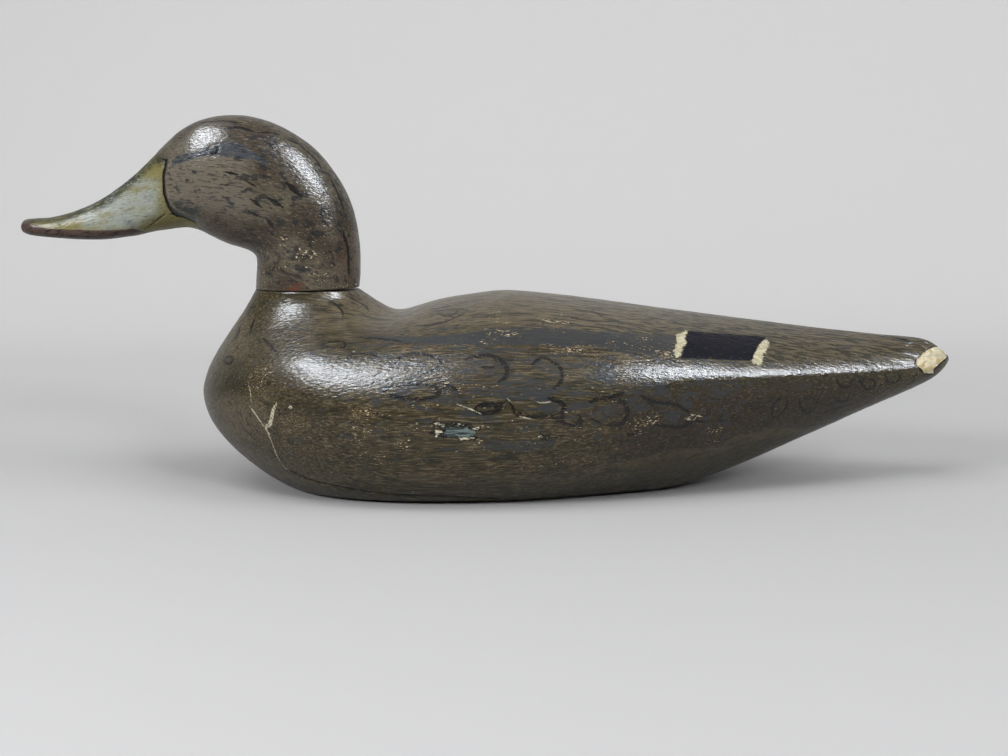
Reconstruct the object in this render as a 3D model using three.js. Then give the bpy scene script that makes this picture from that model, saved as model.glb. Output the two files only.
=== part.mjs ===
// A carved wooden hen mallard decoy: a solid body with a flat bottom, and a solid head that sits on a
// raised seat at the front of the body. Millimetres, +Z up, +X towards the tail, mirrored across Y = 0.
import * as THREE from "three";

// Driving dimensions.
const OVERALL_LENGTH = 425; // bill tip to tail tip
const BODY_HALF_WIDTH = 76;
const HEAD_HALF_WIDTH = 23.5;
const SEAT_HEIGHT = 90; // top of the body's neck seat, where the head is fixed
const SEAT_FRONT = -106.6;
const SEAT_BACK = -59.2;
const NECK_HALF_WIDTH = 20.3;
const SEAM_GAP = 0.4; // open joint between the head and its seat

// Worked out from those.
const TIP = OVERALL_LENGTH / 2; // the bill ends at X = -TIP and the tail at X = +TIP
const SEAT_SHARE = NECK_HALF_WIDTH / BODY_HALF_WIDTH;
const NECK_SHARE = NECK_HALF_WIDTH / HEAD_HALF_WIDTH;

// Points round a ring of each solid.
const BODY_SIDES = 40;
const HEAD_SIDES = 36;

// The edge between the flat bottom and the sides is eased over this height.
const BOTTOM_EASE = 2.5;

// Carving on the head: the cheeks stand proud of the bill by a step, with a cut line along it. The
// line is drawn in side view, and the step dies out along the bill between the two fade places.
const CHEEK_STEP = 1.3;
const CHEEK_LINE = [
  [-156, 152.5],
  [-149, 150.6],
  [-143.4, 148.6],
  [-144.6, 141],
  [-144.2, 134],
  [-142.6, 128],
  [-140.6, 124.8],
  [-136.5, 123.2],
  [-131.5, 121],
];
const CHEEK_END = -131.5;
const STEP_FADE_START = -172;
const STEP_FADE_END = -150;
const STEP_EASE = 1;
const CUT_DEPTH = 0.9;
const CUT_HALF_WIDTH = 1.5;
const CARVE_MARGIN = 6; // nearer to the middle plane than this, the carving gets shallower

// Stations of the body, from the neck seat round the breast and back to the tail. Each is one flat
// section, held by its point on the crest line and its point on the keel line. The keel of the middle
// stations lies under the floor, and the section is cut off flat there. Columns: crest x and z, keel x
// and z, half width as a share of the body's, how far down from crest to keel the section is widest,
// the fullness of the section above and below that (2 is an ellipse, and more is boxier), and the
// number of rings from this station to the next.
const BODY_STATIONS = [
  [SEAT_BACK, SEAT_HEIGHT, SEAT_FRONT, SEAT_HEIGHT, SEAT_SHARE, 0.5, 2, 2, 2],
  [-58, 89.3, -108.4, 86.6, 0.272, 0.5, 2, 2, 3],
  [-55.2, 87.4, -112.2, 80.2, 0.3, 0.5, 2, 2, 3],
  [-51.6, 84.9, -118, 71.8, 0.375, 0.495, 2, 1.96, 3],
  [-48, 82.6, -124.2, 62.4, 0.485, 0.49, 2, 1.92, 3],
  [-44.6, 80.9, -129.4, 52, 0.6, 0.485, 2, 1.89, 3],
  [-41, 80.1, -131.2, 41, 0.705, 0.48, 2, 1.88, 3],
  [-36.5, 80.6, -125.9, 27.5, 0.79, 0.48, 2, 1.9, 3],
  [-30, 82.7, -112.2, 13.2, 0.862, 0.485, 2, 1.97, 3],
  [-21.5, 85.1, -92.5, 0.6, 0.925, 0.495, 2, 2.08, 3],
  [-10, 87.1, -69, -6.2, 0.972, 0.51, 2, 2.22, 4],
  [9, 89.1, -35, -8.8, 1, 0.52, 2, 2.32, 4],
  [35, 87, 10, -8.4, 0.985, 0.48, 1.98, 2.28, 4],
  [62, 83.5, 50, -5.6, 0.905, 0.39, 1.86, 2.17, 3],
  [90, 79.9, 84, -1.8, 0.775, 0.32, 1.67, 2.06, 3],
  [118, 76.3, 115, 8.6, 0.635, 0.325, 1.54, 2, 3],
  [146, 72.9, 145, 21.6, 0.49, 0.36, 1.5, 1.9, 3],
  [172, 69.9, 172, 33.6, 0.355, 0.425, 1.5, 1.9, 3],
  [191, 68.2, 192, 42.4, 0.255, 0.52, 1.52, 1.95, 3],
  [202, 66.6, 204, 48.2, 0.185, 0.57, 1.65, 2, 3],
  [208.4, 63.2, 209.6, 52.5, 0.12, 0.54, 1.85, 2, 3],
  [212.2, 59.8, TIP, 56.2, 0.055, 0.5, 2, 2, 0],
];

// Stations of the head, from the bill tip back over the crown and down to the foot of the neck. The
// crest line is the bill ridge, crown and nape, and the keel line is the underside, chin and throat.
const HEAD_STATIONS = [
  [-TIP, 120.2, -TIP, 116.3, 0.2, 0.5, 2, 2, 2],
  [-210.8, 121.6, -210.9, 115.1, 0.38, 0.54, 2, 2, 2],
  [-206.5, 122, -206.6, 114.3, 0.52, 0.58, 2.2, 2.4, 2],
  [-199, 122.6, -199, 113.6, 0.585, 0.66, 2.2, 2.6, 2],
  [-187, 125.9, -187.2, 112.8, 0.575, 0.74, 2.1, 2.8, 2],
  [-174, 132.2, -174.4, 112.7, 0.56, 0.77, 2, 2.8, 2],
  [-162, 141, -162.4, 113.9, 0.59, 0.74, 2, 2.6, 3],
  [-153, 149.2, -153.5, 115.8, 0.67, 0.67, 2, 2.3, 5],
  [-148.6, 153.6, -149.2, 116.5, 0.72, 0.63, 2, 2.2, 5],
  [-145, 157, -146, 117, 0.76, 0.61, 2, 2.1, 5],
  [-139, 162, -141.5, 117.7, 0.825, 0.6, 2, 2.1, 4],
  [-130, 166.5, -136.5, 117.8, 0.905, 0.6, 2, 2, 3],
  [-119, 168.6, -131, 116.4, 0.97, 0.61, 2, 2, 3],
  [-106.5, 167.8, -124.8, 113.2, 1, 0.61, 2, 2, 3],
  [-92.4, 162.9, -118.6, 110.4, 0.985, 0.6, 2, 2, 3],
  [-78.6, 153.5, -113.2, 108.8, 0.95, 0.58, 2, 2, 3],
  [-68.3, 140.7, -108.8, 107.2, 0.91, 0.55, 2, 2, 3],
  [-61.9, 127.2, -106.3, 104.9, 0.875, 0.52, 2, 2, 3],
  [-58.8, 112, -105.8, 101.4, 0.865, 0.5, 2, 2, 2],
  [-58.4, 99, -106.2, 96.5, NECK_SHARE, 0.5, 2, 2, 2],
  [SEAT_BACK, SEAT_HEIGHT, SEAT_FRONT, SEAT_HEIGHT, NECK_SHARE, 0.5, 2, 2, 0],
];

// A smooth curve through every column of a station table, at t stations from its start.
function stationAt(table, t) {
  const last = table.length - 1;
  const i = Math.min(Math.floor(t), last - 1);
  const f = t - i;
  const rows = [i - 1, i, i + 1, i + 2].map(
    (k) => table[Math.max(0, Math.min(last, k))],
  );
  return rows[0].map((_, c) => {
    const [p, q, r, s] = rows.map((row) => row[c]);
    return (
      q +
      0.5 * f * (r - p + f * (2 * p - 5 * q + 4 * r - s + f * (3 * (q - r) + s - p)))
    );
  });
}

// A point of a section, at an angle of 0 on the crest and PI on the keel.
function sectionPoint(station, halfWidth, angle) {
  const [crestX, crestZ, keelX, keelZ, width, widest, above, below] = station;
  const centreX = crestX + widest * (keelX - crestX);
  const centreZ = crestZ + widest * (keelZ - crestZ);
  const upper = angle < Math.PI / 2;
  const power = 2 / (upper ? above : below);
  const along = Math.abs(Math.cos(angle)) ** power;
  const out = Math.abs(Math.sin(angle)) ** power;
  return new THREE.Vector3(
    centreX + along * ((upper ? crestX : keelX) - centreX),
    halfWidth * width * out,
    centreZ + along * ((upper ? crestZ : keelZ) - centreZ),
  );
}

// Lofts a closed solid over a station table. finish(point) may move a point of the half at Y >= 0
// before it is mirrored. The first and last rings are closed with flat caps.
function loftSolid(table, halfWidth, sides, finish) {
  const stops = table.flatMap(([, , , , , , , , count], i) =>
    Array.from({ length: count }, (_, k) => i + k / count),
  );
  stops.push(table.length - 1);
  const rings = stops.length;
  const half = sides / 2;
  const positions = [];
  for (const stop of stops) {
    const station = stationAt(table, stop);
    for (let j = 0; j < sides; j += 1) {
      const side = j <= half ? 1 : -1;
      const step = j <= half ? j : sides - j;
      const point = sectionPoint(station, halfWidth, (Math.PI * step) / half);
      finish(point);
      positions.push(point.x, side * (step % half ? point.y : 0), point.z);
    }
  }
  const index = [];
  for (let i = 0; i < rings - 1; i += 1) {
    for (let j = 0; j < sides; j += 1) {
      const a = i * sides + j;
      const b = i * sides + ((j + 1) % sides);
      const c = a + sides;
      const d = b + sides;
      // The two halves are split along mirrored diagonals, so that the solid is symmetric.
      if (j < half) index.push(a, d, b, a, c, d);
      else index.push(a, c, b, b, c, d);
    }
  }
  for (const [ring, flip] of [
    [0, false],
    [rings - 1, true],
  ]) {
    const start = ring * sides;
    // A flat cap, as rungs between the two mirrored halves of the ring.
    for (let j = 0; j < half; j += 1) {
      const left = start + j;
      const leftNext = start + j + 1;
      const right = start + ((sides - j) % sides);
      const rightNext = start + sides - j - 1;
      const faces = [];
      if (j > 0) faces.push([left, right, leftNext]);
      if (j < half - 1) faces.push([right, rightNext, leftNext]);
      for (const [a, b, c] of faces) index.push(...(flip ? [a, b, c] : [a, c, b]));
    }
  }
  const geometry = new THREE.BufferGeometry();
  geometry.setAttribute("position", new THREE.Float32BufferAttribute(positions, 3));
  geometry.setIndex(index);
  geometry.computeVertexNormals();
  return geometry;
}

// Cuts the underside off flat at Z = 0, with its edge eased.
function flattenBottom(point) {
  const ease = Math.max(BOTTOM_EASE - Math.abs(point.z), 0);
  point.z = Math.max(point.z, 0) + ease ** 2 / (4 * BOTTOM_EASE);
}

// Distance in side view from a point to a line of points, and the side of the line that it is on:
// positive is to the left of the line's direction.
function distanceToLine(line, x, z) {
  let best = Infinity;
  let sign = 1;
  for (let i = 0; i < line.length - 1; i += 1) {
    const [ax, az] = line[i];
    const [bx, bz] = line[i + 1];
    const dx = bx - ax;
    const dz = bz - az;
    const t = Math.min(1, Math.max(0, ((x - ax) * dx + (z - az) * dz) / (dx * dx + dz * dz)));
    const distance = Math.hypot(x - ax - t * dx, z - az - t * dz);
    if (distance < best) {
      best = distance;
      sign = dx * (z - az) - dz * (x - ax) < 0 ? -1 : 1;
    }
  }
  return [best, sign];
}

// A groove's depth at a distance from its centre.
function groove(distance, depth, halfWidth) {
  return distance < halfWidth ? depth * Math.cos((Math.PI / 2) * (distance / halfWidth)) ** 2 : 0;
}

// Carves the bill back from the cheeks and cuts the line between them, by narrowing the head.
function carveHead(point) {
  const [distance, side] = distanceToLine(CHEEK_LINE, point.x, point.z);
  const ahead = THREE.MathUtils.smoothstep(-side * distance, -STEP_EASE / 2, STEP_EASE);
  const fade = THREE.MathUtils.smoothstep(point.x, STEP_FADE_START, STEP_FADE_END);
  const step = point.x < CHEEK_END ? CHEEK_STEP * ahead * fade : 0;
  const depth = step + groove(distance, CUT_DEPTH, CUT_HALF_WIDTH);
  point.y -= depth * Math.min(1, point.y / CARVE_MARGIN);
}

const bodyPaint = new THREE.MeshStandardMaterial({
  color: 0x4a4237,
  roughness: 0.45,
  metalness: 0,
});
const headPaint = new THREE.MeshStandardMaterial({
  color: 0x51463b,
  roughness: 0.4,
  metalness: 0,
});

const body = new THREE.Mesh(
  loftSolid(BODY_STATIONS, BODY_HALF_WIDTH, BODY_SIDES, flattenBottom),
  bodyPaint,
);
body.name = "body";

const head = new THREE.Mesh(
  loftSolid(HEAD_STATIONS, HEAD_HALF_WIDTH, HEAD_SIDES, carveHead),
  headPaint,
);
head.name = "head";
head.position.z = SEAM_GAP;

const decoy = new THREE.Group();
decoy.add(body, head);

export default decoy;
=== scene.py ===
# Looks of a carved and painted hen mallard decoy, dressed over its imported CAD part. Lengths in this
# script are millimetres unless a name says otherwise, and become metres where a mesh is made. A place
# in the photograph is a pixel (x, y), and is carried onto the surface by a ray from the camera.
import math

import bmesh
import bpy
import numpy as np
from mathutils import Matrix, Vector, noise
from mathutils.bvhtree import BVHTree
from mathutils.kdtree import KDTree


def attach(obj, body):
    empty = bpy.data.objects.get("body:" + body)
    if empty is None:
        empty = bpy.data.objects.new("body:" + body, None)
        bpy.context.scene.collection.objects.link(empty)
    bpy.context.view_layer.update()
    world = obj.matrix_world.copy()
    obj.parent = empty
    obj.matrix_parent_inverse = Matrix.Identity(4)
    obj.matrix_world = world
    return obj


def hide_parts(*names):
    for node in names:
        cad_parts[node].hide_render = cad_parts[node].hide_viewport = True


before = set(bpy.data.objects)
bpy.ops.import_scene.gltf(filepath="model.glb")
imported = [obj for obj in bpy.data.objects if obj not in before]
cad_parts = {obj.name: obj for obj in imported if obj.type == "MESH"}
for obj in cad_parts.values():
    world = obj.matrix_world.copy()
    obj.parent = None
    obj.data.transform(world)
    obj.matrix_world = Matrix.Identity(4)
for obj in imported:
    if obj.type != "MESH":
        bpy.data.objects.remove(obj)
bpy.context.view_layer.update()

METRES = 0.001

# Driving dimensions, the same as the CAD part's.
OVERALL_LENGTH = 425
BODY_HALF_WIDTH = 76
HEAD_HALF_WIDTH = 23.5
SEAT_HEIGHT = 90
SEAT_FRONT = -106.6
SEAT_BACK = -59.2
NECK_HALF_WIDTH = 20.3
SEAM_GAP = 0.4
TIP = OVERALL_LENGTH / 2
SEAT_SHARE = NECK_HALF_WIDTH / BODY_HALF_WIDTH
NECK_SHARE = NECK_HALF_WIDTH / HEAD_HALF_WIDTH
BOTTOM_EASE = 2.5

# The cut between cheek and bill, and the step that it makes, in side view.
CHEEK_STEP = 1.3
CHEEK_LINE = [
    (-156, 152.5),
    (-149, 150.6),
    (-143.4, 148.6),
    (-144.6, 141),
    (-144.2, 134),
    (-142.6, 128),
    (-140.6, 124.8),
    (-136.5, 123.2),
    (-131.5, 121),
]
CHEEK_END = -131.5
STEP_FADE = (-172, -150)
STEP_EASE = 1
CUT_DEPTH = 0.9
CUT_HALF_WIDTH = 1.5
CARVE_MARGIN = 6

# The joint under the head opens towards the back.
FOOT_LIFT = 0.7
FOOT_LIFT_SPAN = (-90, -60)
FOOT_LIFT_FADE = (SEAT_HEIGHT + 8, SEAT_HEIGHT)

# Stations of the two solids, as in the CAD part: crest x and z, keel x and z, half width as a share,
# how far down the section is widest, and its fullness above and below that.
BODY_STATIONS = [
    (SEAT_BACK, SEAT_HEIGHT, SEAT_FRONT, SEAT_HEIGHT, SEAT_SHARE, 0.5, 2, 2),
    (-58, 89.3, -108.4, 86.6, 0.272, 0.5, 2, 2),
    (-55.2, 87.4, -112.2, 80.2, 0.3, 0.5, 2, 2),
    (-51.6, 84.9, -118, 71.8, 0.375, 0.495, 2, 1.96),
    (-48, 82.6, -124.2, 62.4, 0.485, 0.49, 2, 1.92),
    (-44.6, 80.9, -129.4, 52, 0.6, 0.485, 2, 1.89),
    (-41, 80.1, -131.2, 41, 0.705, 0.48, 2, 1.88),
    (-36.5, 80.6, -125.9, 27.5, 0.79, 0.48, 2, 1.9),
    (-30, 82.7, -112.2, 13.2, 0.862, 0.485, 2, 1.97),
    (-21.5, 85.1, -92.5, 0.6, 0.925, 0.495, 2, 2.08),
    (-10, 87.1, -69, -6.2, 0.972, 0.51, 2, 2.22),
    (9, 89.1, -35, -8.8, 1, 0.52, 2, 2.32),
    (35, 87, 10, -8.4, 0.985, 0.48, 1.98, 2.28),
    (62, 83.5, 50, -5.6, 0.905, 0.39, 1.86, 2.17),
    (90, 79.9, 84, -1.8, 0.775, 0.32, 1.67, 2.06),
    (118, 76.3, 115, 8.6, 0.635, 0.325, 1.54, 2),
    (146, 72.9, 145, 21.6, 0.49, 0.36, 1.5, 1.9),
    (172, 69.9, 172, 33.6, 0.355, 0.425, 1.5, 1.9),
    (191, 68.2, 192, 42.4, 0.255, 0.52, 1.52, 1.95),
    (202, 66.6, 204, 48.2, 0.185, 0.57, 1.65, 2),
    (208.4, 63.2, 209.6, 52.5, 0.12, 0.54, 1.85, 2),
    (212.2, 59.8, TIP, 56.2, 0.055, 0.5, 2, 2),
]
HEAD_STATIONS = [
    (-TIP, 120.2, -TIP, 116.3, 0.2, 0.5, 2, 2),
    (-210.8, 121.6, -210.9, 115.1, 0.38, 0.54, 2, 2),
    (-206.5, 122, -206.6, 114.3, 0.52, 0.58, 2.2, 2.4),
    (-199, 122.6, -199, 113.6, 0.585, 0.66, 2.2, 2.6),
    (-187, 125.9, -187.2, 112.8, 0.575, 0.74, 2.1, 2.8),
    (-174, 132.2, -174.4, 112.7, 0.56, 0.77, 2, 2.8),
    (-162, 141, -162.4, 113.9, 0.59, 0.74, 2, 2.6),
    (-153, 149.2, -153.5, 115.8, 0.67, 0.67, 2, 2.3),
    (-148.6, 153.6, -149.2, 116.5, 0.72, 0.63, 2, 2.2),
    (-145, 157, -146, 117, 0.76, 0.61, 2, 2.1),
    (-139, 162, -141.5, 117.7, 0.825, 0.6, 2, 2.1),
    (-130, 166.5, -136.5, 117.8, 0.905, 0.6, 2, 2),
    (-119, 168.6, -131, 116.4, 0.97, 0.61, 2, 2),
    (-106.5, 167.8, -124.8, 113.2, 1, 0.61, 2, 2),
    (-92.4, 162.9, -118.6, 110.4, 0.985, 0.6, 2, 2),
    (-78.6, 153.5, -113.2, 108.8, 0.95, 0.58, 2, 2),
    (-68.3, 140.7, -108.8, 107.2, 0.91, 0.55, 2, 2),
    (-61.9, 127.2, -106.3, 104.9, 0.875, 0.52, 2, 2),
    (-58.8, 112, -105.8, 101.4, 0.865, 0.5, 2, 2),
    (-58.4, 99, -106.2, 96.5, NECK_SHARE, 0.5, 2, 2),
    (SEAT_BACK, SEAT_HEIGHT, SEAT_FRONT, SEAT_HEIGHT, NECK_SHARE, 0.5, 2, 2),
]

# The photograph's camera.
CAMERA_PLACE = (7.5, -750, 148)
CAMERA_PITCH = math.radians(7.55)
LENS = 58.24
SENSOR = 36
PHOTO_WIDTH = 1008
PHOTO_MIDDLE = (504, 378)
FOCAL_PIXELS = LENS / SENSOR * PHOTO_WIDTH
PIXEL = 0.46  # one pixel at the decoy's middle plane

# Dense grids that the looks are modelled on.
BODY_RINGS = 306
BODY_SIDES = 190
HEAD_RINGS = 330
HEAD_SIDES = 176
DETAIL_CUTS = 2

# How finely paths, tables and rings are sampled before they are divided evenly.
PATH_SAMPLES = 24
STOP_SAMPLES = 60
RING_SAMPLES = 9
TURN_SAMPLES = 361

# Each seed takes its noise this far from the last one's.
SEED_STRIDE = 17.3
TINY = 1e-9
FAR_AWAY = 50  # stands for no paint near

# The far side's paint is moved by up to this much, differently from place to place.
FAR_SHIFT = 3
SHIFT_SIZE = (40, 40, 40)
SHIFT_SEEDS = (3, 4, 5)

# A brush stroke narrows over the taper at its ends, to a blunt tip.
TAPER = 2.5
BLUNT = 0.3
OUTLINE_STEP = 0.7


# Numbers

def smoothstep(value, low, high):
    """0 below low and 1 above high, with a smooth rise between them. low may be above high."""
    share = np.clip((np.asarray(value, float) - low) / (high - low), 0, 1)
    return share * share * (3 - 2 * share)


def rows_at(table, stops):
    """Rows of a table at each stop, on a smooth curve through every column."""
    rows = np.array(table, float)
    last = len(rows) - 1
    i = np.minimum(np.floor(stops).astype(int), last - 1)
    f = (stops - i)[:, None]
    p, q, r, s = (rows[np.clip(i + k, 0, last)] for k in (-1, 0, 1, 2))
    return q + 0.5 * f * (r - p + f * (2 * p - 5 * q + 4 * r - s + f * (3 * (q - r) + s - p)))


def fine_stops(table, samples):
    """Stops along a table, so many from each row to the next."""
    last = len(table) - 1
    return np.linspace(0, last, samples * last + 1)


def travelled(steps):
    """The way covered before each of some steps, and after the last."""
    return np.concatenate([[0], np.cumsum(steps)])


def evenly(steps, fine, count):
    """A count of stops with even gaps, from fine stops and the steps between them."""
    travel = travelled(steps)
    return np.interp(np.linspace(0, travel[-1], count), travel, fine)


def smooth_path(points, step):
    """Three or more points about a step apart on a smooth curve through a few points."""
    fine = fine_stops(points, PATH_SAMPLES)
    steps = np.linalg.norm(np.diff(rows_at(points, fine), axis=0), axis=1)
    count = max(3, int(travelled(steps)[-1] / step) + 1)
    return rows_at(points, evenly(steps, fine, count))


def rough(points, size, seed=0, octaves=2):
    """Noise from about -1 to 1 at each point. size is the millimetres of one bump along x, y and z."""
    scaled = points / np.array(size, float) + SEED_STRIDE * (seed + 1)
    return np.array([noise.fractal(Vector(p), 1, 2, octaves) for p in scaled])


def waves(points, table):
    """Layers of noise on each other, each a depth, the size of one bump and a seed."""
    return sum(depth * rough(points, size, seed) for depth, size, seed in table)


def line_distance(line, x, z):
    """Distance from points to a line of points in side view, positive on the line's left."""
    best = np.full(len(x), np.inf)
    sign = np.ones(len(x))
    for (ax, az), (bx, bz) in zip(line[:-1], line[1:]):
        dx, dz = bx - ax, bz - az
        t = np.clip(((x - ax) * dx + (z - az) * dz) / (dx * dx + dz * dz), 0, 1)
        distance = np.hypot(x - ax - t * dx, z - az - t * dz)
        side = np.where(dx * (z - az) - dz * (x - ax) < 0, -1, 1)
        nearer = distance < best
        best = np.where(nearer, distance, best)
        sign = np.where(nearer, side, sign)
    return best * sign


def groove(distance, depth, half_width):
    """A rounded groove's depth at a distance from its middle."""
    share = np.clip(np.abs(distance) / half_width, 0, 1)
    return depth * np.cos(0.5 * math.pi * share) ** 2


# The camera's view of the surface

def to_pixels(points):
    """The photograph's pixels of points."""
    x, y, z = (points - np.array(CAMERA_PLACE)).T
    ahead = y * math.cos(CAMERA_PITCH) - z * math.sin(CAMERA_PITCH)
    up = y * math.sin(CAMERA_PITCH) + z * math.cos(CAMERA_PITCH)
    return np.stack(
        [
            PHOTO_MIDDLE[0] + FOCAL_PIXELS * x / ahead,
            PHOTO_MIDDLE[1] - FOCAL_PIXELS * up / ahead,
        ],
        axis=1,
    )


def pixel_ray(pixel):
    """The direction of the camera's ray through a pixel."""
    right = (pixel[0] - PHOTO_MIDDLE[0]) / FOCAL_PIXELS
    up = (PHOTO_MIDDLE[1] - pixel[1]) / FOCAL_PIXELS
    ahead = math.cos(CAMERA_PITCH) + up * math.sin(CAMERA_PITCH)
    rise = -math.sin(CAMERA_PITCH) + up * math.cos(CAMERA_PITCH)
    return Vector((right, ahead, rise)).normalized()


# Lofted surfaces

def section_points(rows, turns, half_width):
    """Points of each row's section, at turns from 0 on the crest to pi on the keel."""
    crest_x, crest_z, keel_x, keel_z, width, widest, above, below = rows.T[:, :, None]
    centre_x = crest_x + widest * (keel_x - crest_x)
    centre_z = crest_z + widest * (keel_z - crest_z)
    upper = turns < math.pi / 2
    power = 2 / np.where(upper, above, below)
    along = np.abs(np.cos(turns)) ** power
    out = np.abs(np.sin(turns)) ** power
    return np.stack(
        [
            centre_x + along * (np.where(upper, crest_x, keel_x) - centre_x),
            half_width * width * out,
            centre_z + along * (np.where(upper, crest_z, keel_z) - centre_z),
        ],
        axis=-1,
    )


def flatten_bottom(points):
    """Cuts the underside off flat at the floor, with its edge eased."""
    z = points[..., 2]
    ease = np.maximum(BOTTOM_EASE - np.abs(z), 0)
    points[..., 2] = np.maximum(z, 0) + ease**2 / (4 * BOTTOM_EASE)


def carve_head(points):
    """Carves the bill back from the cheeks, cuts the line between them and lifts the head's foot."""
    x, y, z = points[..., 0], points[..., 1], points[..., 2]
    shape = x.shape
    distance = line_distance(CHEEK_LINE, x.ravel(), z.ravel()).reshape(shape)
    ahead = smoothstep(-distance, -STEP_EASE / 2, STEP_EASE)
    step = np.where(x < CHEEK_END, CHEEK_STEP * ahead * smoothstep(x, *STEP_FADE), 0)
    depth = step + groove(distance, CUT_DEPTH, CUT_HALF_WIDTH)
    points[..., 1] = y - depth * np.minimum(1, y / CARVE_MARGIN)
    lift = FOOT_LIFT * smoothstep(x, *FOOT_LIFT_SPAN) * smoothstep(z, *FOOT_LIFT_FADE)
    points[..., 2] = z + SEAM_GAP + lift


class Loft:
    """A surface over a station table. A place on it is a stop and a turn from -pi to pi."""

    def __init__(self, table, half_width, finish):
        self.table = table
        self.half_width = half_width
        self.finish = finish

    def points(self, stops, turns):
        """Points of the finished surface."""
        rows = rows_at(self.table, stops)
        points = section_points(rows, np.abs(turns)[:, None], self.half_width)[:, 0]
        self.finish(points)
        points[:, 1] *= np.sign(turns) * (np.abs(np.abs(turns) - math.pi) > TINY)
        return points

    def even_stops(self, count, crowd):
        """Stops that leave even gaps between rings, closer where crowd(x) is above 1."""
        fine = fine_stops(self.table, STOP_SAMPLES)
        turns = np.linspace(0, math.pi, RING_SAMPLES)[None, :]
        rings = section_points(rows_at(self.table, fine), turns, self.half_width)
        moves = np.linalg.norm(np.diff(rings, axis=0), axis=2).max(axis=1)
        moves *= crowd(rings[1:, RING_SAMPLES // 2, 0])
        return evenly(moves, fine, count)

    def even_turns(self, stops, half):
        """Turns from 0 to pi for each stop, which leave even gaps round half of its ring."""
        fine = np.linspace(0, math.pi, TURN_SAMPLES)
        rings = section_points(rows_at(self.table, stops), fine[None, :], self.half_width)
        moves = np.linalg.norm(np.diff(rings, axis=1), axis=2)
        return np.array([evenly(row, fine, half + 1) for row in moves])

    def build(self, rings, sides, crowd, near_detail):
        """A closed mesh, split finer where near_detail(points) holds."""
        half = sides // 2
        stops = self.even_stops(rings, crowd)
        turns = self.even_turns(stops, half)
        turns = np.concatenate([turns, -turns[:, half - 1:0:-1]], axis=1).ravel()
        stops = np.repeat(stops, sides)
        start = np.arange(rings - 1)[:, None] * sides
        j = np.arange(sides)[None, :]
        after = (j + 1) % sides
        quads = np.stack([start + j, start + j + sides, start + after + sides, start + after], -1)
        faces = quads.reshape(-1, 4).tolist()
        for ring in (0, (rings - 1) * sides):
            faces.append([ring, ring + 1, ring + sides - 1])
            for k in range(1, half - 1):
                faces.append([ring + k, ring + k + 1, ring + sides - k - 1, ring + sides - k])
            faces.append([ring + half - 1, ring + half, ring + half + 1])
        points = self.points(stops, turns)
        mesh = bpy.data.meshes.new("loft")
        mesh.from_pydata(points.tolist(), [], faces)
        edit = bmesh.new()
        edit.from_mesh(mesh)
        stop_layer = edit.verts.layers.float.new("stop")
        turn_layer = edit.verts.layers.float.new("turn")
        wanted = near_detail(points)
        for vertex, stop, turn in zip(edit.verts, stops, turns):
            vertex[stop_layer] = stop
            vertex[turn_layer] = turn
        edges = [e for e in edit.edges if wanted[e.verts[0].index] and wanted[e.verts[1].index]]
        bmesh.ops.subdivide_edges(edit, edges=edges, cuts=DETAIL_CUTS, use_grid_fill=True)
        bmesh.ops.recalc_face_normals(edit, faces=edit.faces)
        edit.verts.ensure_lookup_table()
        final_stops = np.array([v[stop_layer] for v in edit.verts])
        final_turns = np.array([v[turn_layer] for v in edit.verts])
        for vertex, point in zip(edit.verts, self.points(final_stops, final_turns)):
            vertex.co = point
        edit.to_mesh(mesh)
        edit.free()
        return mesh


def vectors(items, name):
    """The vector that each item keeps under a name, as rows."""
    values = np.empty(len(items) * 3)
    items.foreach_get(name, values)
    return values.reshape(-1, 3)


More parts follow.
